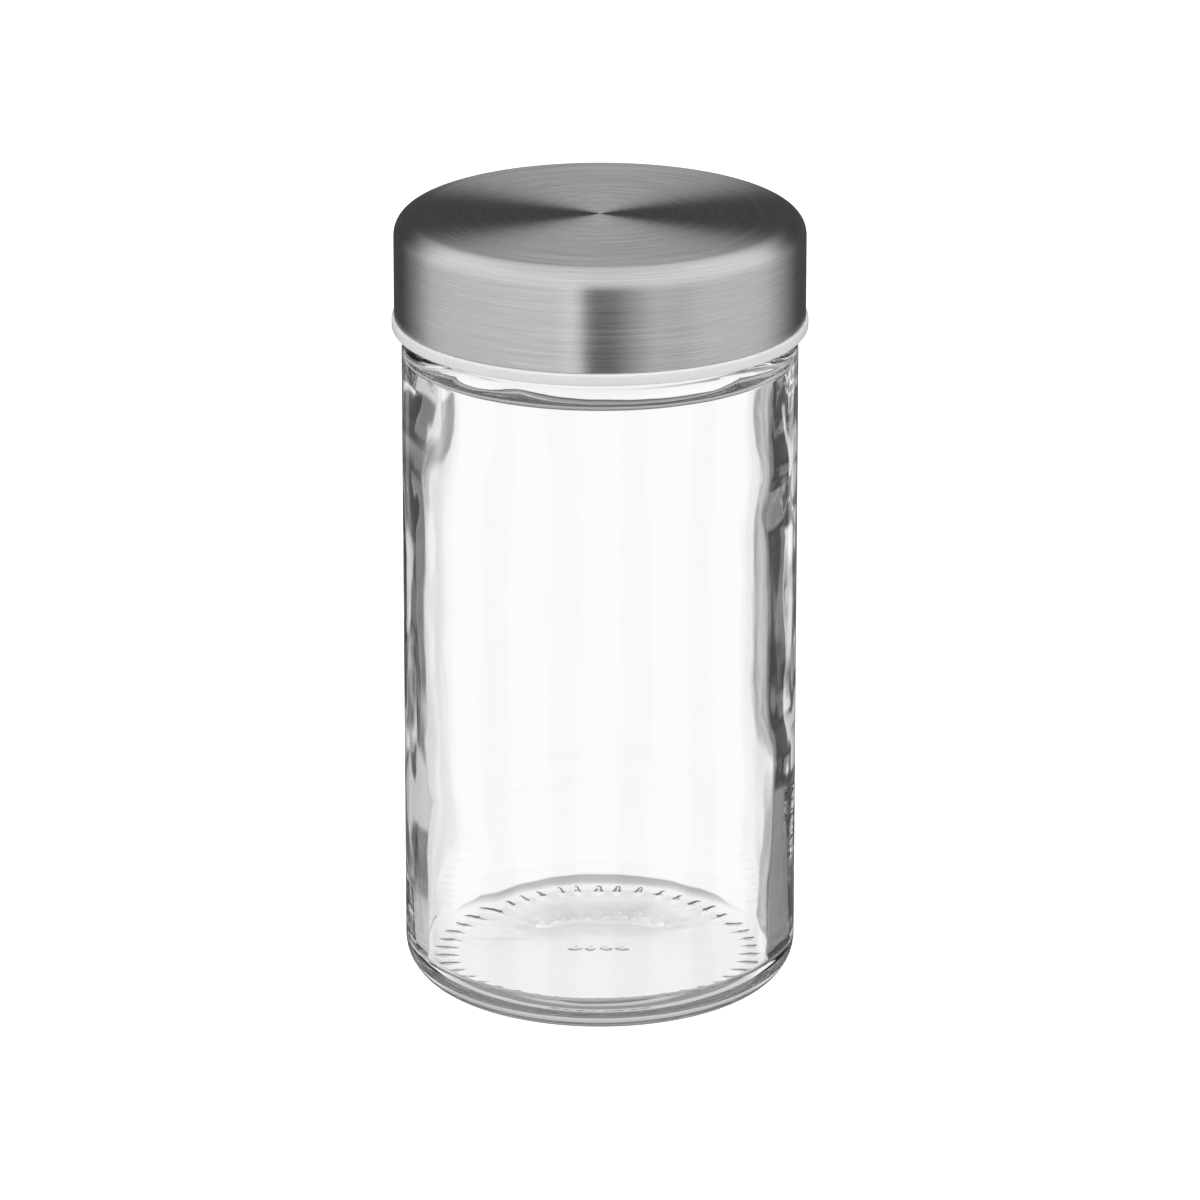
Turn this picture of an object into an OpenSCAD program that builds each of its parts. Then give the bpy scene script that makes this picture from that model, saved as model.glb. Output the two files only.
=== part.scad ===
// Spice jar: a glass jar with a three-start screw neck, closed by a lid of
// brushed steel over a moulded screw insert with a sealing ring.
// Millimetres, +Z up, origin at the middle of the base on the table.

/* [Glass body] */
// Outside diameter of the straight body
body_d = 49.4; // [48:0.2:58]
// Height of the glass, from the table to the rim
jar_h = 96.9; // [70:0.1:130]
// Thickness of the body wall
wall_t = 2.5; // [2:0.1:3.2]
// Height of the inside floor above the table
floor_z = 4; // [3:0.1:8]
// Outside radius of the heel, where the wall turns under
heel_r = 5.2; // [4:0.1:6]
// Inside radius between wall and floor
corner_r = 1.2; // [0.8:0.1:9]
// Outside radius of the shoulder
shoulder_r = 1.6; // [1.4:0.1:4]
// Radius inside the shoulder, where the mouth opens out
throat_r = 3; // [1.6:0.1:3.2]
// Radius inside the shoulder, where that curve turns down into the wall
throat_foot_r = 1.2; // [0.8:0.1:2]

/* [Foot] */
// Width of the flat ring that the jar stands on
foot_w = 2.8; // [2.4:0.1:3.6]
// Height of the hollow under the middle of the base
pushup_h = 0.4; // [0.3:0.1:1]
// Number of grip marks round the foot
knurl_n = 44; // [24:1:60]
// Length of a grip mark, along the radius
knurl_l = 1.8; // [1:0.1:2.2]
// Width of a grip mark
knurl_w = 0.8; // [0.6:0.1:1.4]
// Depth of a grip mark
knurl_depth = 0.25; // [0.2:0.05:0.4]
// How far the marks run out over the start of the heel
knurl_out = 1.2; // [0.4:0.1:1.2]

/* [Neck] */
// Step from the body in to the neck
neck_step = 2.4; // [1.8:0.1:3]
// Height of the neck, from the shoulder to the rim
neck_h = 12.7; // [12.4:0.1:18]
// Thickness of the neck wall
neck_t = 2.7; // [2.2:0.1:3.4]
// Radius where the neck meets the shoulder
neck_fillet = 1; // [0.6:0.1:1.6]
// Radius of the rim's two edges
rim_r = 0.9; // [0.4:0.1:1]

/* [Screw thread] */
// Number of separate ridges
thread_starts = 3; // [2:1:3]
// Distance from one ridge to the next, along the axis
thread_pitch = 4; // [4:0.1:4.4]
// Angle that one ridge on the glass covers
thread_span = 140; // [110:5:150]
// Height of the lower end of the glass thread above the neck's foot
thread_up = 4.4; // [4.2:0.1:4.6]
// Radial height of a glass ridge
thread_h = 1.2; // [0.8:0.1:1.4]
// Width of a glass ridge at its root
thread_w = 2.6; // [2:0.1:2.6]
// Angle over which a ridge grows out of its wall
thread_fade = 20; // [10:1:30]
// Angle that one ridge in the lid covers
cap_span = 95; // [70:5:110]
// Width of a lid ridge at its crest
cap_w = 1; // [0.6:0.1:1]
// Slope of the lid ridge's two flanks
cap_flank = 24; // [10:1:26]

/* [Lid] */
// Thickness of the steel
steel_t = 0.4; // [0.3:0.05:0.6]
// Outside radius of the steel's top edge
edge_r = 2.6; // [1.6:0.1:3.4]
// Thickness of the screw insert's skirt
skirt_t = 1.35; // [1:0.05:1.8]
// Thickness of the insert's top panel
panel_t = 1.2; // [1:0.1:2]
// Height of the insert's flange, which shows below the steel
flange_t = 1.5; // [1.2:0.1:2.2]
// How far the flange stands out past the steel
flange_out = 0.32; // [0.3:0.02:0.6]
// Radius of the flange's edges
flange_edge = 0.3; // [0.1:0.05:0.3]
// Bevel inside the lid's mouth
lead_in = 0.5; // [0.2:0.1:0.6]
// Gap between the lid's lower edge and the neck's foot
lid_gap = 1.4; // [1:0.1:1.6]
// Length of the locating rib that hangs into the mouth
rib_h = 3; // [2:0.1:4]
// Thickness of the locating rib
rib_t = 1; // [0.8:0.1:1.6]
// Diameter of the moulding gate's dimple, in the middle of the panel
gate_d = 5; // [3:0.5:8]
// Depth of that dimple
gate_depth = 0.3; // [0.2:0.1:0.5]

/* [Sealing ring] */
// Thickness of the ring
seal_t = 1.5; // [1:0.1:2.5]
// How far the ring reaches out past the glass rim
seal_over = 0.7; // [0.3:0.1:1]
// How far the ring reaches in past the mouth
seal_in = 0.6; // [0.4:0.1:1]
// Radius of the ring's edges
seal_edge = 0.3; // [0.1:0.1:0.4]

/* [Clearances] */
// Gap between the thread crests and the wall that they face
thread_gap = 0.3; // [0.2:0.05:0.5]
// Gap along the axis between the ridges of glass and lid
flank_gap = 0.2; // [0.15:0.05:0.25]
// Gap between the steel and the insert's skirt
fit_gap = 0.05; // [0.02:0.01:0.1]
// Gap between the locating rib and the sealing ring
seal_gap = 0.2; // [0.1:0.05:0.4]

/* [Hidden] */
$fn = 128;
// Straight lines in each drawn arc, and in a small one
arc_steps = 9;
small_steps = 4;
// Degrees between the sections of a ridge
ridge_step = 5;
// How deep a ridge is rooted in its wall, and how deep its faded ends lie
sink = 0.6;
bury = 0.1;
// Angle at which the first glass ridge starts
thread_at = 62;

// Glass
body_r = body_d / 2;
cavity_r = body_r - wall_t;
foot_r = body_r - heel_r;
foot_in_r = foot_r - foot_w;
neck_r = body_r - neck_step;
mouth_r = neck_r - neck_t;
neck_z = jar_h - neck_h;
shoulder_x = body_r - shoulder_r;
shoulder_z = neck_z - sqrt(pow(shoulder_r, 2) - pow(neck_r - shoulder_x, 2));
fillet_x = neck_r + neck_fillet;
fillet_z = shoulder_z + sqrt(pow(shoulder_r + neck_fillet, 2) - pow(fillet_x - shoulder_x, 2));
fillet_a = atan2(fillet_z - shoulder_z, fillet_x - shoulder_x);
throat_a = acos(1 - (cavity_r - mouth_r) / (throat_r + throat_foot_r));
throat_z = fillet_z - (throat_r + throat_foot_r) * sin(throat_a);
knurl_r = (pow(knurl_w / 2, 2) + pow(knurl_depth, 2)) / (2 * knurl_depth);

// Thread: the lid's ridges lie against the undersides of the glass ones
thread_lead = thread_pitch * thread_starts;
thread_z = neck_z + thread_up;
cap_bore_r = neck_r + thread_h + thread_gap;
cap_thread_h = thread_h;
cap_root_w = cap_w + 2 * (cap_thread_h + sink) * tan(cap_flank);
cap_lag = (thread_span - cap_span) / 2;
cap_drop = (thread_w + cap_w) / 2 + flank_gap;
cap_thread_z = thread_z - cap_drop + thread_lead * cap_lag / 360;

// Lid
ceiling_z = jar_h + seal_t;
panel_z = ceiling_z + panel_t;
top_z = panel_z + steel_t;
skirt_z = neck_z + lid_gap;
flange_z = skirt_z + flange_t;
insert_r = cap_bore_r + skirt_t;
steel_r = insert_r + fit_gap + steel_t;
flange_r = steel_r + flange_out;
seal_in_r = mouth_r - seal_in;
seal_out_r = neck_r + seal_over;
rib_r = seal_in_r - seal_gap;

// Points of an arc round c, from angle a0 to a1.
function arc(c, r, a0, a1, n = arc_steps) =
    [for (i = [0:n]) let (a = a0 + (a1 - a0) * i / n) c + r * [cos(a), sin(a)]];

// How far a ridge has grown at angle a of its span: 0 at the ends, 1 between.
function growth(a, span) =
    let (t = min(1, min(a, span - a) / thread_fade)) t * t * (3 - 2 * t);

// Cross-section of a glass ridge, [radius, height]: a rounded bead.
function glass_section(g) = concat(
    [[neck_r - sink, thread_w / 2], [neck_r - sink, -thread_w / 2]],
    [for (a = [-90:30:90]) [neck_r - bury + (thread_h + bury) * g * cos(a), thread_w / 2 * sin(a)]]);

// Cross-section of a lid ridge, [radius, height]: a trapezium that points inwards.
function cap_section(g) =
    let (root = cap_bore_r + sink, crest = cap_bore_r + bury - (cap_thread_h + bury) * g)
    [[root, -cap_root_w / 2], [root, cap_root_w / 2], [crest, cap_w / 2], [crest, -cap_w / 2]];

// One helical ridge: sections swept up the lead and closed at both ends.
module ridge(sections, span) {
    rings = len(sections);
    sides = len(sections[0]);
    points = [for (i = [0:rings - 1], p = sections[i])
        let (a = span * i / (rings - 1)) [p.x * cos(a), p.x * sin(a), p.y + thread_lead * a / 360]];
    walls = [for (i = [0:rings - 2], j = [0:sides - 1])
        let (k = (j + 1) % sides, a = i * sides, b = a + sides)
        each [[a + j, b + k, b + j], [a + j, a + k, b + k]]];
    last = (rings - 1) * sides;
    ends = [for (j = [1:sides - 2]) each [[0, j + 1, j], [last, last + j, last + j + 1]]];
    polyhedron(points, concat(walls, ends), convexity = 4);
}

module glass_thread() {
    rings = ceil(thread_span / ridge_step);
    sections = [for (i = [0:rings]) glass_section(growth(thread_span * i / rings, thread_span))];
    for (k = [0:thread_starts - 1])
        translate([0, 0, thread_z]) rotate(thread_at + 360 * k / thread_starts)
            ridge(sections, thread_span);
}

module cap_thread() {
    rings = ceil(cap_span / ridge_step);
    sections = [for (i = [0:rings]) cap_section(growth(cap_span * i / rings, cap_span))];
    for (k = [0:thread_starts - 1])
        translate([0, 0, cap_thread_z]) rotate(thread_at + cap_lag + 360 * k / thread_starts)
            ridge(sections, cap_span);
}

// Half section of the glass: out under the base, up the outside, over the rim
// and down the inside.
module glass_profile() {
    polygon(concat(
        [for (i = [0:arc_steps]) let (t = i / arc_steps)
            [foot_in_r * t, pushup_h * pow(1 - t * t, 2)]],
        arc([foot_r, heel_r], heel_r, -90, 0),
        arc([shoulder_x, shoulder_z], shoulder_r, 0, fillet_a),
        arc([fillet_x, fillet_z], neck_fillet, 180 + fillet_a, 180, small_steps),
        arc([neck_r - rim_r, jar_h - rim_r], rim_r, 0, 90, small_steps),
        arc([mouth_r + rim_r, jar_h - rim_r], rim_r, 90, 180, small_steps),
        arc([mouth_r + throat_r, fillet_z], throat_r, 180, 180 + throat_a),
        arc([cavity_r - throat_foot_r, throat_z], throat_foot_r, throat_a, 0),
        arc([cavity_r - corner_r, floor_z + corner_r], corner_r, 0, -90),
        [[0, floor_z]]));
}

// Shallow grooves pressed across the foot, which read as a ring of short bars.
module grip_marks() {
    for (i = [0:knurl_n - 1])
        rotate(360 * i / knurl_n)
            translate([foot_r + knurl_out - knurl_l, 0, knurl_depth - knurl_r])
                rotate([0, 90, 0]) cylinder(r = knurl_r, h = knurl_l);
}

module glass_jar() {
    color([0.86, 0.9, 0.89, 0.4]) difference() {
        union() {
            rotate_extrude() glass_profile();
            glass_thread();
        }
        grip_marks();
    }
}

// Flat ring with rounded edges, clamped between the insert's panel and the glass rim.
module seal_ring() {
    color([0.93, 0.93, 0.9]) rotate_extrude() polygon(concat(
        arc([seal_in_r + seal_edge, jar_h + seal_edge], seal_edge, 180, 270, small_steps),
        arc([seal_out_r - seal_edge, jar_h + seal_edge], seal_edge, 270, 360, small_steps),
        arc([seal_out_r - seal_edge, ceiling_z - seal_edge], seal_edge, 0, 90, small_steps),
        arc([seal_in_r + seal_edge, ceiling_z - seal_edge], seal_edge, 90, 180, small_steps)));
}

// Half section of the screw insert: over the top, down the outside, back up the
// bore and round the locating rib.
module insert_profile() {
    top_r = edge_r - steel_t;
    rib_tip = [rib_r - rib_t / 2, ceiling_z - rib_h + rib_t / 2];
    polygon(concat(
        [[0, ceiling_z + gate_depth], [0, panel_z]],
        arc([insert_r - top_r, panel_z - top_r], top_r, 90, 0),
        [[insert_r, flange_z]],
        arc([flange_r - flange_edge, flange_z - flange_edge], flange_edge, 90, 0, small_steps),
        arc([flange_r - flange_edge, skirt_z + flange_edge], flange_edge, 0, -90, small_steps),
        [[cap_bore_r + lead_in, skirt_z], [cap_bore_r, skirt_z + lead_in],
         [cap_bore_r, ceiling_z], [rib_r, ceiling_z]],
        arc(rib_tip, rib_t / 2, 0, -180),
        [[rib_r - rib_t, ceiling_z], [gate_d / 2, ceiling_z], [gate_d / 2, ceiling_z + gate_depth]]));
}

module screw_insert() {
    color([0.88, 0.89, 0.88, 0.85]) {
        rotate_extrude() insert_profile();
        cap_thread();
    }
}

// Pressed shell over the insert: it rests on the panel and ends on the flange.
module steel_cap() {
    shell_in = edge_r - steel_t;
    color([0.66, 0.66, 0.67]) rotate_extrude() polygon(concat(
        [[0, panel_z], [0, top_z]],
        arc([steel_r - edge_r, top_z - edge_r], edge_r, 90, 0),
        [[steel_r, flange_z], [steel_r - steel_t, flange_z]],
        arc([steel_r - edge_r, top_z - edge_r], shell_in, 0, 90)));
}

glass_jar();
seal_ring();
screw_insert();
steel_cap();
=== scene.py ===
from math import acos, atan2, cos, degrees, hypot, pi, radians, sin, sqrt, tan

import bpy
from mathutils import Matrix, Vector


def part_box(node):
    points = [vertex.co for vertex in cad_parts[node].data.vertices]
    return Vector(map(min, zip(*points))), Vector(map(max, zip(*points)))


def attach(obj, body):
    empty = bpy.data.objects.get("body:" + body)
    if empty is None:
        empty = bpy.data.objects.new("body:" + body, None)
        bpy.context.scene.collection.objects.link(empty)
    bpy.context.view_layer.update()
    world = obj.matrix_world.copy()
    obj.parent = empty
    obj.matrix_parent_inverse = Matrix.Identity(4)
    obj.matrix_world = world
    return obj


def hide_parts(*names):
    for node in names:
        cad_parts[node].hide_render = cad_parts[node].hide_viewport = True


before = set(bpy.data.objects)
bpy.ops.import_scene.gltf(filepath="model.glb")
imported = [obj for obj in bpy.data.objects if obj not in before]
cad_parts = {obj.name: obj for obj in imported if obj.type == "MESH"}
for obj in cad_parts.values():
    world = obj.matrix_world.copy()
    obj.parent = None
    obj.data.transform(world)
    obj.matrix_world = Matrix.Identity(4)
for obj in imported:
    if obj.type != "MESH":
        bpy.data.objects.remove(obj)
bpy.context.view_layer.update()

mm = 0.001
samePoint = 1e-6  # millimetres between points that are one point
mergeWithin = 2e-7  # metres between vertices that are made one
print("frame: loaded", ", ".join(sorted(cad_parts)))


# Camera

cameraView = {
    "aimHeight": 49.5 * mm,
    "distance": 1.0,
    "elevation": 18.8,
    "lens": 238.6,
}


def makeCamera(view):
    camera = bpy.data.objects.new("camera", bpy.data.cameras.new("camera"))
    bpy.context.scene.collection.objects.link(camera)
    tilt = radians(view["elevation"])
    aim = Vector((0, 0, view["aimHeight"]))
    back = Vector((0, -cos(tilt), sin(tilt)))
    camera.location = aim + back * view["distance"]
    camera.rotation_euler = (-back).to_track_quat("-Z", "Y").to_euler()
    camera.data.lens = view["lens"]
    camera.data.clip_start = 0.01
    bpy.context.scene.camera = camera


makeCamera(cameraView)
print("camera: in place")


# Node trees

class Wire:
    # Wraps one output socket. Arithmetic on wires adds Math nodes to their tree.
    def __init__(self, tree, socket=None):
        self.tree = tree
        self.socket = socket

    def node(self, kind, settings=None, values=None, output=0):
        made = self.tree.nodes.new(kind)
        for name, value in (settings or {}).items():
            if name == "stops":
                setStops(made.color_ramp, value)
            else:
                setattr(made, name, value)
        for key, value in (values or {}).items():
            if isinstance(value, Wire):
                self.tree.links.new(value.socket, made.inputs[key])
            else:
                made.inputs[key].default_value = value
        return Wire(self.tree, made.outputs[output] if made.outputs else None)

    def out(self, name):
        return Wire(self.tree, self.socket.node.outputs[name])

    def math(self, operation, *values):
        return self.node("ShaderNodeMath", {"operation": operation}, dict(enumerate(values)))

    def smooth(self, low, high):
        settings = {"interpolation_type": "SMOOTHSTEP"}
        return self.node("ShaderNodeMapRange", settings, {0: self, 1: low, 2: high})

    def between(self, low, high, soft):
        return self.smooth(low - soft, low + soft) * (1 - self.smooth(high - soft, high + soft))

    def blend(self, first, second):
        settings = {"data_type": "RGBA"}
        return self.node("ShaderNodeMix", settings, {0: self, 6: first, 7: second}, 2)

    def noise(self, place, scale, detail):
        values = {"Vector": place, "Scale": scale, "Detail": detail}
        return self.node("ShaderNodeTexNoise", {}, values)

    def bump(self, height, strength, distance):
        values = {"Height": height, "Strength": strength, "Distance": distance}
        return self.node("ShaderNodeBump", {}, values)

    def __add__(self, other):
        return self.math("ADD", self, other)

    def __mul__(self, other):
        return self.math("MULTIPLY", self, other)

    def __sub__(self, other):
        return self.math("SUBTRACT", self, other)

    def __rsub__(self, other):
        return self.math("SUBTRACT", other, self)

    def __truediv__(self, other):
        return self.math("DIVIDE", self, other)

    def __pow__(self, other):
        return self.math("POWER", self, other)

    __radd__ = __add__
    __rmul__ = __mul__


def setStops(ramp, stops):
    while len(ramp.elements) < len(stops):
        ramp.elements.new(1)
    for element, (place, grey) in zip(ramp.elements, stops):
        element.position = place
        element.color = (grey, grey, grey, 1)


def newMaterial(name):
    material = bpy.data.materials.new(name)
    material.use_nodes = True
    material.node_tree.nodes.clear()
    return material, Wire(material.node_tree)


# Half sections: lists of (radius, height) in millimetres, with the solid always on the left
# hand of the way they run; the last number of an arc or a line is its count of steps

def arc(centre, radius, first, last, steps):
    angles = [radians(first + (last - first) * i / steps) for i in range(steps + 1)]
    return [(centre[0] + radius * cos(a), centre[1] + radius * sin(a)) for a in angles]


def line(start, end, steps):
    return [
        (start[0] + (end[0] - start[0]) * i / steps, start[1] + (end[1] - start[1]) * i / steps)
        for i in range(steps + 1)
    ]


def stringMesh(name, stretches):
    # joins the stretches into one string of points; each point keeps its stretch's name as
    # an attribute of 1, and "out", the way out of the solid
    points, tags = [], []
    for tag, stretch in stretches:
        for point in stretch:
            if not points or hypot(point[0] - points[-1][0], point[1] - points[-1][1]) > samePoint:
                points.append(point)
                tags.append(tag)
    closed = hypot(points[0][0] - points[-1][0], points[0][1] - points[-1][1]) < samePoint
    mesh = bpy.data.meshes.new(name)
    edges = [(i, i + 1) for i in range(len(points) - 1)]
    mesh.from_pydata([(r * mm, 0, z * mm) for r, z in points], edges, [])
    outward = mesh.attributes.new("out", "FLOAT_VECTOR", "POINT")
    for i in range(len(points)):
        before = points[i - 1] if i else points[-2] if closed else points[0]
        after = points[i + 1] if i + 1 < len(points) else points[1] if closed else points[-1]
        r, z = after[0] - before[0], after[1] - before[1]
        outward.data[i].vector = (z / hypot(r, z), 0, -r / hypot(r, z))
    for tag in sorted(set(tags)):
        share = mesh.attributes.new(tag, "FLOAT", "POINT")
        share.data.foreach_set("value", [float(t == tag) for t in tags])
    return mesh


# Turned pieces: one tree sweeps a half section round the axis and raises the relief on it

class TurnedPoint:
    # what a relief may read at each point: the turn from 0 to 1, the place, and the stretch
    def __init__(self, tree, crowding):
        start = Wire(tree)
        inputs = start.node("NodeGroupInput")
        self.inputs = inputs
        section = inputs.out("Section")
        rows = start.node("GeometryNodeAttributeDomainSize", {}, {"Geometry": section})
        index = start.node("GeometryNodeInputIndex")
        self.section = section
        self.rows = rows
        self.row = index.math("FLOORED_MODULO", index, rows)
        even = index.math("FLOOR", (index + 0.5) / rows) / inputs.out("Segments")
        copies = inputs.out("Copies")
        phase = even * copies * 2 * pi
        self.turn = even - phase.math("SINE", phase) * crowding / (copies * 2 * pi)
        self.angle = self.turn * 2 * pi
        place = self.sample("FLOAT_VECTOR", start.node("GeometryNodeInputPosition"))
        parts = start.node("ShaderNodeSeparateXYZ", {}, {0: place})
        self.radius = parts.out("X")
        self.height = parts.out("Z")
        self.cosine = self.angle.math("COSINE", self.angle)
        self.sine = self.angle.math("SINE", self.angle)

    def sample(self, kind, value):
        settings = {"data_type": kind, "domain": "POINT"}
        values = {"Geometry": self.section, "Value": value, "Index": self.row}
        return value.node("GeometryNodeSampleIndex", settings, values)

    def stretch(self, name):
        named = self.row.node("GeometryNodeInputNamedAttribute", {"data_type": "FLOAT"}, {0: name})
        return self.sample("FLOAT", named)

    def size(self, name):
        return self.inputs.out(name)


def turnedTree(name, sizes, relief, crowding):
    tree = bpy.data.node_groups.new(name, "GeometryNodeTree")
    sockets = [("Section", "Geometry"), ("Segments", "Int"), ("Copies", "Int")]
    sockets += [(size, "Float") for size in sizes] + [("Material", "Material")]
    for socket, kind in sockets:
        tree.interface.new_socket(socket, in_out="INPUT", socket_type="NodeSocket" + kind)
    tree.interface.new_socket("Piece", in_out="OUTPUT", socket_type="NodeSocketGeometry")
    point = TurnedPoint(tree, crowding)
    named = point.row.node("GeometryNodeInputNamedAttribute", {"data_type": "FLOAT_VECTOR"}, {0: "out"})
    out = point.row.node("ShaderNodeSeparateXYZ", {}, {0: point.sample("FLOAT_VECTOR", named)})
    rise = relief(point)
    radius = point.radius + out.out("X") * rise
    height = point.height + out.out("Z") * rise
    place = {0: radius * point.cosine, 1: radius * point.sine, 2: height}
    grid = {"Vertices X": point.inputs.out("Segments") + 1, "Vertices Y": point.rows}
    mesh = point.row.node("GeometryNodeMeshGrid", {}, grid)
    mesh = mesh.node(
        "GeometryNodeSetPosition",
        {},
        {"Geometry": mesh, "Position": mesh.node("ShaderNodeCombineXYZ", {}, place)},
    )
    mesh = mesh.node("GeometryNodeMergeByDistance", {}, {"Geometry": mesh, "Distance": mergeWithin})
    mesh = mesh.node("GeometryNodeSetShadeSmooth", {}, {"Geometry": mesh})
    mesh = mesh.node("GeometryNodeRealizeInstances", {}, {"Geometry": mesh})
    material = {"Geometry": mesh, "Material": point.inputs.out("Material")}
    mesh = mesh.node("GeometryNodeSetMaterial", {}, material)
    mesh.node("NodeGroupOutput", {}, {0: mesh})
    return tree


def turnedPiece(name, stretches, segments, material, sizes, relief, copies=1, crowding=0):
    piece = bpy.data.objects.new(name, stringMesh(name + "_section", stretches))
    bpy.context.scene.collection.objects.link(piece)
    tree = turnedTree(name, sizes, relief, crowding)
    modifier = piece.modifiers.new(name, "NODES")
    modifier.node_group = tree
    given = {"Segments": segments, "Copies": copies, "Material": material, **sizes}
    for item in tree.interface.items_tree:
        if item.name in given:
            modifier[item.identifier] = given[item.name]
    evaluated = piece.evaluated_get(bpy.context.evaluated_depsgraph_get())
    mesh = bpy.data.meshes.new_from_object(evaluated)
    piece.modifiers.clear()
    piece.data = mesh
    mesh.name = name
    print(f"{name}: {len(mesh.polygons)} faces")
    return piece


def noRelief(point):
    return point.turn * 0


# Glass jar, with every size in millimetres or degrees, as on the other pieces

jar = {
    "segments": 396,
    "wall": 2.5,
    "floorZ": 4,
    "heelR": 5.2,
    "cornerR": 1.2,
    "shoulderR": 1.6,
    "throatR": 3,
    "throatFootR": 1.2,
    "throatDrop": 0.2,
    "footWidth": 2.8,
    "hollow": 0.4,
    "grips": 44,
    "gripLength": 1.8,
    "gripWidth": 0.8,
    "gripDepth": 0.25,
    "gripOut": 1.2,
    "gripSoft": 0.2,
    "gripSpare": 2,
    "crowding": 0.6,  # how far the mesh is drawn together at the grip marks
    "markR": 6.5,
    "markRings": 26,
    "hollowRings": 12,
    "dots": 4,
    "dotR": 0.75,
    "dotGap": 2.1,
    "dotRise": 0.28,
    "neckStep": 2.4,
    "neckHeight": 12.7,
    "neckWall": 2.7,
    "neckFillet": 1,
    "rimR": 0.9,
}
thread = {
    "starts": 3,
    "pitch": 4,
    "span": 140,
    "up": 4.4,
    "height": 1.2,
    "width": 2.6,
    "fade": 20,
    "startAngle": 62,
    "bury": 0.1,
    "spare": 0.2,
}
# how the inside of the wall wavers: places in millimetres, growth in shares of "swing"
waver = {
    "swing": 0.35,
    "heightStretch": 28,
    "broadScale": 1.3,
    "broadDetail": 1.5,
    "broadShare": 1.1,
    "fineScale": 4.2,
    "fineDetail": 1.0,
    "fineShare": 0.35,
    "top": (70, 86),
    "topSoft": 6,
    "topShare": 0.7,
    "topLeast": 0.1,
    "foot": (10, 30),
    "footShare": 0.9,
    "footLeast": 0.3,
    "floor": (6, 20),
    "swellSoft": 4,
}
# where the wall runs thicker: (degrees from +X towards +Y, half width, lowest, highest, growth)
swells = [
    (0, 75, 33, 66, 0.48),
    (0, 60, 70, 82, 0.35),
    (180, 70, 71, 83, 0.55),
    (205, 30, 20, 27, 0.25),
]


def jarStretches(jar):
    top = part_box("glass_jar")[1] / mm
    bodyR, rimZ = top.x, top.z
    footR = bodyR - jar["heelR"]
    footInR = footR - jar["footWidth"]
    neckR = bodyR - jar["neckStep"]
    mouthR = neckR - jar["neckWall"]
    cavityR = bodyR - jar["wall"]
    neckZ = rimZ - jar["neckHeight"]
    shoulderX = bodyR - jar["shoulderR"]
    shoulderZ = neckZ - sqrt(jar["shoulderR"] ** 2 - (neckR - shoulderX) ** 2)
    filletX = neckR + jar["neckFillet"]
    filletZ = shoulderZ + sqrt((jar["shoulderR"] + jar["neckFillet"]) ** 2 - (filletX - shoulderX) ** 2)
    filletA = degrees(atan2(filletZ - shoulderZ, filletX - shoulderX))
    throatR, throatFootR = jar["throatR"], jar["throatFootR"]
    throatA = degrees(acos(1 - (cavityR - mouthR) / (throatR + throatFootR)))
    throatTopZ = filletZ - jar["throatDrop"]
    throatZ = throatTopZ - (throatR + throatFootR) * sin(radians(throatA))
    rings, outer = jar["markRings"], jar["hollowRings"]
    hollow = [i * jar["markR"] / rings for i in range(rings)]
    hollow += [jar["markR"] + (footInR - jar["markR"]) * i / outer for i in range(outer + 1)]
    gripStart = footR + jar["gripOut"] - jar["gripLength"]
    gripAngle = degrees(jar["gripOut"] / jar["heelR"]) + jar["gripSpare"]
    threadZ = neckZ + thread["up"]
    threadTop = threadZ + thread["pitch"] * thread["starts"] * thread["span"] / 360
    spare = thread["width"] / 2 + thread["spare"]
    heel = (footR, jar["heelR"])
    rim, rimInR = jar["rimR"], mouthR + jar["rimR"]
    corner = (cavityR - jar["cornerR"], jar["floorZ"] + jar["cornerR"])
    return [
        ("hollow", [(x, jar["hollow"] * (1 - (x / footInR) ** 2) ** 2) for x in hollow]),
        ("grip", line((footInR, 0), (gripStart, 0), 3)),
        ("grip", line((gripStart, 0), (footR, 0), 5)),
        ("grip", arc(heel, jar["heelR"], -90, -90 + gripAngle, 5)),
        ("plain", arc(heel, jar["heelR"], -90 + gripAngle, 0, 12)),
        ("plain", line((bodyR, jar["heelR"]), (bodyR, shoulderZ), 24)),
        ("plain", arc((shoulderX, shoulderZ), jar["shoulderR"], 0, filletA, 14)),
        ("plain", arc((filletX, filletZ), jar["neckFillet"], 180 + filletA, 180, 6)),
        ("plain", line((neckR, filletZ), (neckR, threadZ - spare), 2)),
        ("thread", line((neckR, threadZ - spare), (neckR, threadTop + spare), 38)),
        ("plain", arc((neckR - rim, rimZ - rim), rim, 0, 90, 6)),
        ("plain", arc((rimInR, rimZ - rim), rim, 90, 180, 6)),
        ("plain", line((mouthR, rimZ - rim), (mouthR, throatTopZ), 6)),
        ("plain", arc((mouthR + throatR, throatTopZ), throatR, 180, 180 + throatA, 12)),
        ("inside", arc((cavityR - throatFootR, throatZ), throatFootR, throatA, 0, 10)),
        ("inside", line((cavityR, throatZ), (cavityR, corner[1]), 32)),
        ("inside", arc(corner, jar["cornerR"], 0, -90, 14)),
        ("inside", line((corner[0], jar["floorZ"]), (0, jar["floorZ"]), 8)),
    ]


def ridgeGrowth(point, start, span):
    # the share of a turn since the ridge's start, and how far it has grown there
    local = point.turn - start / 360
    local = local.math("FRACT", local)
    fade = thread["fade"] / 360
    nearest = local.math("MINIMUM", local, span / 360 - local)
    return local, nearest.smooth(0, fade)


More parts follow.
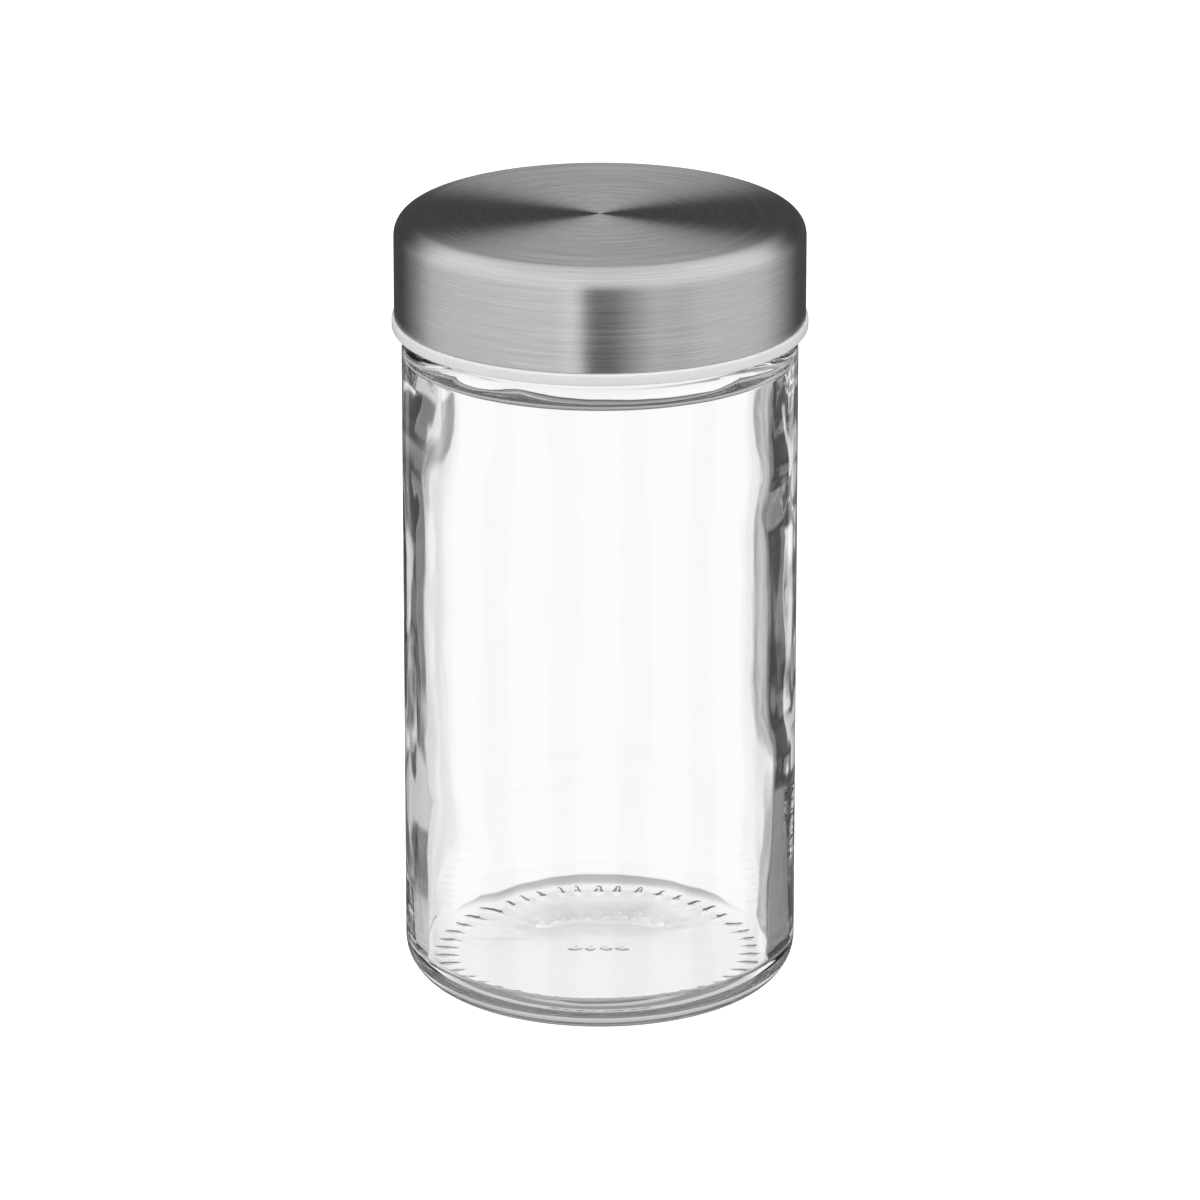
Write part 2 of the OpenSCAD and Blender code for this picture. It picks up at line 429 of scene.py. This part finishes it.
def dotRelief(point):
    # a row of small round dots in the middle of the base
    x, y = point.radius * point.cosine, point.radius * point.sine
    rise = point.turn * 0
    for k in range(jar["dots"]):
        place = (k - (jar["dots"] - 1) / 2) * jar["dotGap"] * mm
        far = ((x - place) * (x - place) + y * y) / (jar["dotR"] * mm) ** 2
        rise = rise + far.math("MAXIMUM", 1 - far, 0) * point.size("Dot Rise")
    return rise


def wallRelief(point):
    # the inside of a pressed wall: waves all over, and thicker places
    height = point.height
    place = {0: point.cosine, 1: point.sine, 2: height * waver["heightStretch"]}
    place = height.node("ShaderNodeCombineXYZ", {}, place)
    broad = height.noise(place, waver["broadScale"], waver["broadDetail"])
    fine = height.noise(place, waver["fineScale"], waver["fineDetail"])
    top, foot, floor = ([value * mm for value in waver[part]] for part in ("top", "foot", "floor"))
    waves = (broad - 0.5) * waver["broadShare"] + (fine - 0.5) * waver["fineShare"]
    nearTop = height.between(*top, waver["topSoft"] * mm) * (broad + waver["topLeast"])
    nearFoot = (1 - height.smooth(*foot)) * (broad + waver["footLeast"])
    inside = waves + nearTop * waver["topShare"] + nearFoot * waver["footShare"]
    inside = inside * point.radius.smooth(*floor) * point.size("Unevenness")
    soft = waver["swellSoft"] * mm
    for turn, half, low, high, growth in swells:
        shifted = point.turn + (0.5 - turn / 360)
        aside = shifted.math("FRACT", shifted) - 0.5
        around = 1 - aside.math("ABSOLUTE", aside).smooth(0, half / 360)
        inside = inside + around * height.between(low * mm, high * mm, soft) * (growth * mm)
    return inside


def jarRelief(point):
    bead = point.turn * 0
    for k in range(thread["starts"]):
        start = thread["startAngle"] + 360 * k / thread["starts"]
        local, growth = ridgeGrowth(point, start, thread["span"])
        middle = point.size("Thread Height Above Base") + point.size("Thread Lead") * local
        across = (point.height - middle) / (point.size("Thread Width") / 2)
        swell = across.math("MAXIMUM", 1 - across * across, 0) ** 0.5
        lift = (point.size("Thread Height") + thread["bury"] * mm) * growth * swell
        bead = bead.math("MAXIMUM", bead, lift - thread["bury"] * mm)
    copies = point.size("Copies")
    sector = point.turn * copies + 0.5
    sector = sector.math("FRACT", sector) - 0.5
    across = sector * (2 * pi) / copies * point.radius / (point.size("Grip Width") / 2)
    inner, outer = point.size("Grip Start"), point.size("Grip End")
    ends = point.radius.between(inner, outer, jar["gripSoft"] * mm)
    groove = across.math("MAXIMUM", 1 - across * across, 0) * ends * point.size("Grip Depth")
    return (
        bead * point.stretch("thread")
        - groove * point.stretch("grip")
        + wallRelief(point) * point.stretch("inside")
        + dotRelief(point) * point.stretch("hollow")
    )


glassFinish = {
    "tint": (0.989, 0.992, 0.991, 1),
    "shadowTint": (0.96, 0.97, 0.97, 1),
    "ior": 1.5,
    "waveScale": 90,
    "waveDetail": 2,
    "waveStrength": 0.06,
    "waveHeight": 0.5 * mm,
}


def glassMaterial(finish):
    material, start = newMaterial("clear_glass")
    place = start.node("ShaderNodeTexCoord").out("Object")
    wave = start.noise(place, finish["waveScale"], finish["waveDetail"])
    bump = start.bump(wave, finish["waveStrength"], finish["waveHeight"])
    glass = start.node(
        "ShaderNodeBsdfPrincipled",
        {},
        {
            "Base Color": finish["tint"],
            "Roughness": 0.0,
            "IOR": finish["ior"],
            "Transmission Weight": 1,
            "Normal": bump,
        },
    )
    shadow = start.node("ShaderNodeLightPath").out("Is Shadow Ray")
    clear = start.node("ShaderNodeBsdfTransparent", {}, {"Color": finish["shadowTint"]})
    mixed = start.node("ShaderNodeMixShader", {}, {0: shadow, 1: glass, 2: clear})
    start.node("ShaderNodeOutputMaterial", {}, {"Surface": mixed})
    return material


def makeJar(jar):
    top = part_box("glass_jar")[1] / mm
    footR = top.x - jar["heelR"]
    neckZ = top.z - jar["neckHeight"]
    sizes = {
        "Thread Height": thread["height"] * mm,
        "Thread Width": thread["width"] * mm,
        "Thread Lead": thread["pitch"] * thread["starts"] * mm,
        "Thread Height Above Base": (neckZ + thread["up"]) * mm,
        "Grip Width": jar["gripWidth"] * mm,
        "Grip Depth": jar["gripDepth"] * mm,
        "Grip Start": (footR + jar["gripOut"] - jar["gripLength"]) * mm,
        "Grip End": (footR + jar["gripOut"]) * mm,
        "Unevenness": waver["swing"] * mm,
        "Dot Rise": jar["dotRise"] * mm,
    }
    piece = turnedPiece(
        "jar_glass",
        jarStretches(jar),
        jar["segments"],
        glassMaterial(glassFinish),
        sizes,
        jarRelief,
        jar["grips"],
        jar["crowding"],
    )
    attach(piece, "jar")
    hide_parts("glass_jar")


makeJar(jar)


# Brushed steel cap

steel = {
    "segments": 320,
    "thickness": 0.4,
    "edgeR": 2.6,
    "hem": 0.12,
}
steelFinish = {
    "lineFineness": 9,
    "lineLength": 1.5,
    "lineDetail": 3,
    "scratchFineness": 5,
    "scratchLength": 5,
    "scratchDetail": 2,
    "scratchEdge": (0.60, 0.72),
    "scratchShade": 0.08,
    "dark": 0.43,
    "light": 0.59,
    "blue": 1.005,
    "roughness": 0.22,
    "roughnessSwing": 0.12,
    "lineStrength": 0.18,
    "lineHeight": 0.04 * mm,
    "middleR": 0.5 * mm,  # inside this the lines run into one another
}


def steelMaterial(finish):
    material, start = newMaterial("brushed_steel")
    place = start.node("ShaderNodeTexCoord").out("Object")
    parts = start.node("ShaderNodeSeparateXYZ", {}, {0: place})
    x, y, z = parts.out("X"), parts.out("Y"), parts.out("Z")
    radius = (x * x + y * y) ** 0.5
    along = (radius - z) * (1 / mm)
    lengthwise = radius.math("MAXIMUM", radius, finish["middleR"])

    def brush(mark):
        fineness, length = finish[mark + "Fineness"], finish[mark + "Length"]
        coords = {0: along * fineness, 1: x / lengthwise * length, 2: y / lengthwise * length}
        vector = start.node("ShaderNodeCombineXYZ", {}, coords)
        return start.noise(vector, 1, finish[mark + "Detail"])

    lines = brush("line")
    scratches = brush("scratch").smooth(*finish["scratchEdge"])
    shades = {0: lines, 1: 0.25, 2: 0.75, 3: finish["dark"], 4: finish["light"]}
    shade = start.node("ShaderNodeMapRange", {}, shades) + scratches * finish["scratchShade"]
    blue = shade * finish["blue"]
    colour = start.node("ShaderNodeCombineColor", {}, {0: shade, 1: shade, 2: blue})
    bump = start.bump(lines, finish["lineStrength"], finish["lineHeight"])
    metal = start.node(
        "ShaderNodeBsdfPrincipled",
        {},
        {
            "Base Color": colour,
            "Metallic": 1,
            "Roughness": lines * finish["roughnessSwing"] + finish["roughness"],
            "Anisotropic": 1,
            "Anisotropic Rotation": 0.25,
            "Normal": bump,
        },
    )
    start.node("ShaderNodeOutputMaterial", {}, {"Surface": metal})
    return material


def makeSteel(steel):
    low, high = (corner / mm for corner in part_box("steel_cap"))
    outR, topZ, lowZ = high.x, high.z, low.z
    inR = outR - steel["thickness"]
    edge, hem = steel["edgeR"], steel["hem"]
    insideZ = topZ - steel["thickness"]
    corner = (outR - edge, topZ - edge)
    stretches = [
        ("plain", line((0, insideZ), (corner[0], insideZ), 6)),
        ("plain", arc(corner, edge - steel["thickness"], 90, 0, 8)),
        ("plain", line((inR, corner[1]), (inR, lowZ + hem), 3)),
        ("plain", arc((inR + hem, lowZ + hem), hem, 180, 270, 3)),
        ("plain", arc((outR - hem, lowZ + hem), hem, 270, 360, 3)),
        ("plain", line((outR, lowZ + hem), (outR, corner[1]), 4)),
        ("plain", arc(corner, edge, 0, 90, 14)),
        ("plain", line((corner[0], topZ), (0, topZ), 12)),
    ]
    piece = turnedPiece(
        "lid_steel", stretches, steel["segments"], steelMaterial(steelFinish), {}, noRelief
    )
    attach(piece, "lid")
    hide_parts("steel_cap")


makeSteel(steel)


# Screw insert of the lid, and the sealing ring that its rib holds

seal = {
    "segments": 240,
    "reachIn": 0.6,
    "edge": 0.3,
}
insert = {
    "segments": 360,
    "skirt": 1.35,
    "panel": 1.2,
    "flange": 1.5,
    "flangeEdge": 0.3,
    "leadIn": 0.5,
    "edgeR": 2.2,
    "gateR": 2.5,
    "gateDepth": 0.3,
    "ribGap": 0.2,
    "ribThick": 1,
    "ribHeight": 3,
    "ridgeSpan": 95,
    "ridgeCrest": 1,
    "ridgeFlank": 24,
    "ridgeGap": 0.2,
    "steelGap": 0.05,
    "gateFlank": 0.15,
}
insertFinish = {
    "cloudScale": 160,
    "cloudDetail": 3,
    "grainScale": 2600,
    "grainDetail": 2,
    "grainStrength": 0.15,
    "grainHeight": 0.03 * mm,
    "dark": (0.68, 0.69, 0.69, 1),
    "light": (0.76, 0.77, 0.77, 1),
    "roughness": 0.3,
    "roughnessSwing": 0.12,
    "ior": 1.49,
    "milkiness": 0.35,
}
milkDepth = 2 * mm  # how far light spreads in the two translucent pieces


def insertRelief(point):
    lag = (thread["span"] - insert["ridgeSpan"]) / 2
    slope = tan(radians(insert["ridgeFlank"]))
    ridge = point.turn * 0
    for k in range(thread["starts"]):
        start = thread["startAngle"] + lag + 360 * k / thread["starts"]
        local, growth = ridgeGrowth(point, start, insert["ridgeSpan"])
        middle = point.size("Ridge Height Above Base") + point.size("Thread Lead") * local
        across = point.height - middle
        foot = point.size("Ridge Height") * slope + point.size("Ridge Crest") / 2
        flank = (foot - across.math("ABSOLUTE", across)) / slope
        lift = flank.math("MINIMUM", flank, point.size("Ridge Height") * growth)
        ridge = ridge.math("MAXIMUM", ridge, lift)
    return ridge * point.stretch("ridge")


def insertMaterial(finish):
    material, start = newMaterial("insert_plastic")
    place = start.node("ShaderNodeTexCoord").out("Object")
    cloud = start.noise(place, finish["cloudScale"], finish["cloudDetail"])
    grain = start.noise(place, finish["grainScale"], finish["grainDetail"])
    bump = start.bump(grain, finish["grainStrength"], finish["grainHeight"])
    plastic = start.node(
        "ShaderNodeBsdfPrincipled",
        {},
        {
            "Base Color": cloud.blend(finish["dark"], finish["light"]),
            "Roughness": grain * finish["roughnessSwing"] + finish["roughness"],
            "IOR": finish["ior"],
            "Subsurface Weight": finish["milkiness"],
            "Subsurface Radius": (milkDepth, milkDepth, milkDepth),
            "Subsurface Scale": 1,
            "Normal": bump,
        },
    )
    start.node("ShaderNodeOutputMaterial", {}, {"Surface": plastic})
    return material


def makeInsert(insert):
    low, high = (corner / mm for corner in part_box("screw_insert"))
    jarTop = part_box("glass_jar")[1] / mm
    neckR = jarTop.x - jar["neckStep"]
    neckZ = jarTop.z - jar["neckHeight"]
    flangeR, skirtZ, panelZ = high.x, low.z, high.z
    ceilingZ = panelZ - insert["panel"]
    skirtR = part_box("steel_cap")[1].x / mm - steel["thickness"] - insert["steelGap"]
    boreR = skirtR - insert["skirt"]
    flangeZ = skirtZ + insert["flange"]
    edge, lead = insert["flangeEdge"], insert["leadIn"]
    gateR, gateZ = insert["gateR"], ceilingZ + insert["gateDepth"]
    mouthR = neckR - jar["neckWall"]
    ribR, ribT = mouthR - seal["reachIn"] - insert["ribGap"], insert["ribThick"]
    ribTip = (ribR - ribT / 2, ceilingZ - insert["ribHeight"] + ribT / 2)
    corner = (skirtR - insert["edgeR"], panelZ - insert["edgeR"])
    lag = (thread["span"] - insert["ridgeSpan"]) / 2
    drop = (thread["width"] + insert["ridgeCrest"]) / 2 + insert["ridgeGap"]
    leadZ = thread["pitch"] * thread["starts"]
    ridgeZ = neckZ + thread["up"] - drop + leadZ * lag / 360
    stretches = [
        ("plain", line((0, gateZ), (gateR - insert["gateFlank"], gateZ), 4)),
        ("plain", line((gateR, ceilingZ), (ribR - ribT, ceilingZ), 6)),
        ("plain", arc(ribTip, ribT / 2, -180, 0, 8)),
        ("plain", line((ribR, ceilingZ), (boreR, ceilingZ), 3)),
        ("ridge", line((boreR, ceilingZ), (boreR, skirtZ + lead), 52)),
        ("plain", line((boreR + lead, skirtZ), (flangeR - edge, skirtZ), 2)),
        ("plain", arc((flangeR - edge, skirtZ + edge), edge, -90, 0, 5)),
        ("plain", arc((flangeR - edge, flangeZ - edge), edge, 0, 90, 5)),
        ("plain", line((skirtR, flangeZ), (skirtR, corner[1]), 4)),
        ("plain", arc(corner, insert["edgeR"], 0, 90, 8)),
        ("plain", line((corner[0], panelZ), (0, panelZ), 6)),
    ]
    sizes = {
        "Ridge Height": thread["height"] * mm,
        "Ridge Crest": insert["ridgeCrest"] * mm,
        "Thread Lead": leadZ * mm,
        "Ridge Height Above Base": ridgeZ * mm,
    }
    material = insertMaterial(insertFinish)
    piece = turnedPiece("lid_insert", stretches, insert["segments"], material, sizes, insertRelief)
    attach(piece, "lid")
    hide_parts("screw_insert")


makeInsert(insert)


# Sealing ring

sealFinish = {
    "cloudScale": 240,
    "cloudDetail": 3,
    "dustScale": 1800,
    "dustDetail": 2,
    "dustStrength": 0.2,
    "dustHeight": 0.04 * mm,
    "dark": (0.80, 0.81, 0.80, 1),
    "light": (0.90, 0.90, 0.89, 1),
    "roughness": 0.42,
    "roughnessSwing": 0.15,
    "ior": 1.43,
    "milkiness": 0.6,
}


def sealMaterial(finish):
    material, start = newMaterial("seal_silicone")
    place = start.node("ShaderNodeTexCoord").out("Object")
    cloud = start.noise(place, finish["cloudScale"], finish["cloudDetail"])
    dust = start.noise(place, finish["dustScale"], finish["dustDetail"])
    bump = start.bump(dust, finish["dustStrength"], finish["dustHeight"])
    silicone = start.node(
        "ShaderNodeBsdfPrincipled",
        {},
        {
            "Base Color": cloud.blend(finish["dark"], finish["light"]),
            "Roughness": dust * finish["roughnessSwing"] + finish["roughness"],
            "IOR": finish["ior"],
            "Subsurface Weight": finish["milkiness"],
            "Subsurface Radius": (milkDepth, milkDepth, milkDepth),
            "Subsurface Scale": 1,
            "Normal": bump,
        },
    )
    start.node("ShaderNodeOutputMaterial", {}, {"Surface": silicone})
    return material


def makeSeal(seal):
    low, high = (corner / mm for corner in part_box("seal_ring"))
    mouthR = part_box("glass_jar")[1].x / mm - jar["neckStep"] - jar["neckWall"]
    inR, outR, lowZ, highZ, edge = mouthR - seal["reachIn"], high.x, low.z, high.z, seal["edge"]
    stretches = [
        ("plain", arc((inR + edge, lowZ + edge), edge, 180, 270, 5)),
        ("plain", line((inR + edge, lowZ), (outR - edge, lowZ), 4)),
        ("plain", arc((outR - edge, lowZ + edge), edge, 270, 360, 5)),
        ("plain", arc((outR - edge, highZ - edge), edge, 0, 90, 5)),
        ("plain", line((outR - edge, highZ), (inR + edge, highZ), 4)),
        ("plain", arc((inR + edge, highZ - edge), edge, 90, 180, 5)),
        ("plain", [(inR, lowZ + edge)]),
    ]
    material = sealMaterial(sealFinish)
    piece = turnedPiece("seal_silicone", stretches, seal["segments"], material, {}, noRelief)
    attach(piece, "seal")
    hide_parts("seal_ring")


makeSeal(seal)


# Studio

studio = {
    "floorR": 3.0,
    "floorSides": 64,
    "floorGlow": 0.62,
    "floorColour": 0.75,
    "ambient": 0.45,
    "softEdge": 1.5,  # degrees over which a card's edge fades
    "softSide": 4,  # the same for the cards at the sides
    "cardEdge": 0.01,  # the same above and below a card, as a sine of the height
    "glassLow": 0.45,
    "glassLowRise": (-0.75, -0.6),  # the sines between which a level changes, here and below
    "glassRoom": 0.27,
    "glassRoomRise": (-0.16, -0.11),
    "glassSky": 0.6,
    "glassSkyRise": (0.04, 0.16),
    "glassEdge": 0.05,
    "glassEdgeBand": (-0.175, -0.11, 0.02),
    "glassBehind": (135, 225, 8),  # from, to and softness, in degrees from the front
    "mirrorFront": 0.85,
    "mirrorBack": 0.12,
    "mirrorBehind": (114, 246, 4),
    "steelBack": 0.08,
    "steelBackRise": (0.35, 0.75),
    "steelFront": 1.3,
    "steelFrontRise": (0.75, 0.97),
    "steelTurn": (-0.75, -0.2),  # where the back gives way to the front
    "steelAbove": 1.1,
    "steelRise": (0.02, 0.25),
    "crossing": 5,  # the ray depth after both walls; off the inner wall and out again it is less
}
cardFoot, cardHead = -0.7, 0.1  # a full card's, as sines of the height
# cards that the glass sees: (middle, half width, brightness, lowest, highest), in degrees from
# the front towards +X and as sines of the height
sideCards = [(22.5 + 45 * k, 9, 0.2, cardFoot, cardHead) for k in (0, 1, 2, 5, 6, 7)]
# through the wall alone, at the rims
rimCards = [
    (144, 14, 0.06, cardFoot, cardHead),
    (180, 7, 0.12, cardFoot, cardHead),
    (168, 12, 0.06, cardFoot, -0.327),
    (198, 8, 0.12, cardFoot, -0.335),
    (198, 8, 0.12, -0.308, cardHead),
    (210.5, 6.5, 0.06, cardFoot, cardHead),
    (221.5, 5, 0.25, cardFoot, cardHead),
    (213, 14, 0.5, cardFoot, -0.344),
    (213, 14, 0.66, cardFoot, -0.352),
    (144, 14, 0.3, cardFoot, -0.358),
]
# through the whole jar
acrossCards = [
    (149, 5, 0.08, cardFoot, cardHead),
    (157, 4.5, 0.34, cardFoot, cardHead),
    (203, 5, 0.35, -0.303, cardHead),
]
# lighter strips in the dark behind, as the glass mirrors it, in the same terms
mirrorStrips = [(149, 5, 0.85, -0.327, 1), (208, 4, 0.4, -1, 1)]
# what the steel sees at its own level: (degrees from the front towards +X, brightness)
steelCards = [
    (0, 0.03),
    (8, 0.06),
    (18, 0.34),
    (32, 0.74),
    (44, 0.66),
    (64, 0.85),
    (104, 0.86),
    (123, 0.46),
    (140, 0.10),
    (218, 0.08),
    (238, 0.40),
    (252, 0.86),
    (300, 0.94),
    (336, 1.00),
    (343, 1.20),
    (348, 1.00),
    (352, 0.25),
    (356, 0.03),
]

# soft lamps: name, degrees from the front, degrees up, metres away, metres across, watts
lamps = [
    ("lamp_top", 0, 80, 0.9, 0.7, 5),
    ("lamp_left", -60, 35, 1.0, 0.6, 2.5),
    ("lamp_right", 60, 35, 1.0, 0.6, 2.5),
]


def makeWorld(studio):
    world = bpy.data.worlds.new("studio")
    bpy.context.scene.world = world
    world.use_nodes = True
    world.node_tree.nodes.clear()
    world.cycles.sampling_method = "NONE"
    start = Wire(world.node_tree)
    parts = start.node("ShaderNodeSeparateXYZ", {}, {0: start.node("ShaderNodeTexCoord")})
    x, y, z = parts.out("X"), parts.out("Y"), parts.out("Z")
    azimuth = x.math("ARCTAN2", x, y * -1) / (2 * pi)
    azimuth = azimuth.math("FRACT", azimuth)

    stops = [(angle / 360, grey) for angle, grey in steelCards] + [(1, steelCards[0][1])]
    level = start.node("ShaderNodeValToRGB", {"stops": stops}, {0: azimuth})
    above = studio["steelAbove"]
    back = studio["steelBack"] + (above - studio["steelBack"]) * z.smooth(*studio["steelBackRise"])
    front = studio["steelFront"] + (above - studio["steelFront"]) * z.smooth(*studio["steelFrontRise"])
    higher = back + (front - back) * (y * -1).smooth(*studio["steelTurn"])
    steelSees = level + (higher - level) * z.smooth(*studio["steelRise"])

    def between(start, end, soft):
        return azimuth.between(start / 360, end / 360, soft / 360)

    def withCards(level, cards, soft=studio["softEdge"]):
        for middle, half, grey, foot, head in cards:
            across = between(middle - half, middle + half, soft)
            card = across * z.between(foot, head, studio["cardEdge"])
            level = level + (grey - level) * card
        return level

    path = start.node("ShaderNodeLightPath")
    depth = path.out("Ray Depth")
    plain = 1 - (1 - z.smooth(*studio["glassLowRise"])) * (1 - studio["glassLow"])
    rim, across = withCards(plain, rimCards), withCards(plain, acrossCards)
    crossing = studio["crossing"]
    glassSees = rim + (across - rim) * depth.math("COMPARE", depth, crossing, 0.5)
    sides = withCards(plain, sideCards, studio["softSide"])
    glassSees = glassSees * (sides / plain) ** depth.math("LESS_THAN", depth, crossing + 0.5)
    behind = between(*studio["glassBehind"])
    edge = z.between(*studio["glassEdgeBand"])
    room = z.smooth(*studio["glassRoomRise"])
    rise = z.smooth(*studio["glassSkyRise"])
    sky = studio["glassRoom"] + (studio["glassSky"] - studio["glassRoom"]) * rise
    glassSees = glassSees + (sky - glassSees) * room * behind
    glassSees = glassSees + (studio["glassEdge"] - glassSees) * edge * behind
    mirrorSees = studio["mirrorFront"] + z * 0
    dark = between(*studio["mirrorBehind"])
    mirrorSees = mirrorSees + (studio["mirrorBack"] - mirrorSees) * dark
    mirrorSees = withCards(mirrorSees, mirrorStrips)

    camera, glossy, through = (
        path.out(f"Is {kind} Ray") for kind in ("Camera", "Glossy", "Transmission")
    )
    glossy = glossy * (1 - through)
    mirror = path.out("Is Singular Ray")
    steelOrGlass = steelSees + (mirrorSees - steelSees) * mirror
    seen = camera + glossy * steelOrGlass + through * glassSees
    other = 1 - camera - glossy - through
    light = start.node("ShaderNodeBackground", {}, {"Strength": seen + other * studio["ambient"]})
    light.socket.node.inputs["Color"].default_value = (1, 1, 1, 1)
    start.node("ShaderNodeOutputWorld", {}, {"Surface": light})


def makeFloor(studio):
    material, start = newMaterial("floor_white")
    grey = studio["floorColour"]
    card = start.node("ShaderNodeBsdfDiffuse", {}, {"Color": (grey, grey, grey, 1)})
    glow = start.node("ShaderNodeLightPath").out("Is Camera Ray") * studio["floorGlow"]
    glow = start.node("ShaderNodeEmission", {}, {"Color": (1, 1, 1, 1), "Strength": glow})
    both = start.node("ShaderNodeAddShader", {}, {0: card, 1: glow})
    start.node("ShaderNodeOutputMaterial", {}, {"Surface": both})
    sides = studio["floorSides"]
    corners = arc((0, 0), studio["floorR"], 0, 360 - 360 / sides, sides - 1)
    mesh = bpy.data.meshes.new("floor")
    mesh.from_pydata([(x, y, 0) for x, y in corners], [], [list(range(sides))])
    mesh.materials.append(material)
    floor = bpy.data.objects.new("floor", mesh)
    bpy.context.scene.collection.objects.link(floor)
    floor.visible_glossy = False
    floor.visible_transmission = False


def makeLamp(name, azimuth, elevation, distance, size, power):
    data = bpy.data.lights.new(name, "AREA")
    data.size = size
    data.energy = power
    lamp = bpy.data.objects.new(name, data)
    a, e = radians(azimuth), radians(elevation)
    toward = Vector((sin(a) * cos(e), -cos(a) * cos(e), sin(e)))
    lamp.location = toward * distance
    lamp.rotation_euler = toward.to_track_quat("Z", "Y").to_euler()
    bpy.context.scene.collection.objects.link(lamp)
    lamp.visible_camera = False
    lamp.visible_glossy = False
    lamp.visible_transmission = False


makeWorld(studio)
makeFloor(studio)
for lamp in lamps:
    makeLamp(*lamp)
print("studio: in place")

scene = bpy.context.scene
scene.view_settings.view_transform = "Standard"
# glass needs many passes before a ray gets out of it
scene.cycles.max_bounces = 40
scene.cycles.transmission_bounces = 40
scene.cycles.glossy_bounces = 24
scene.cycles.transparent_max_bounces = 16
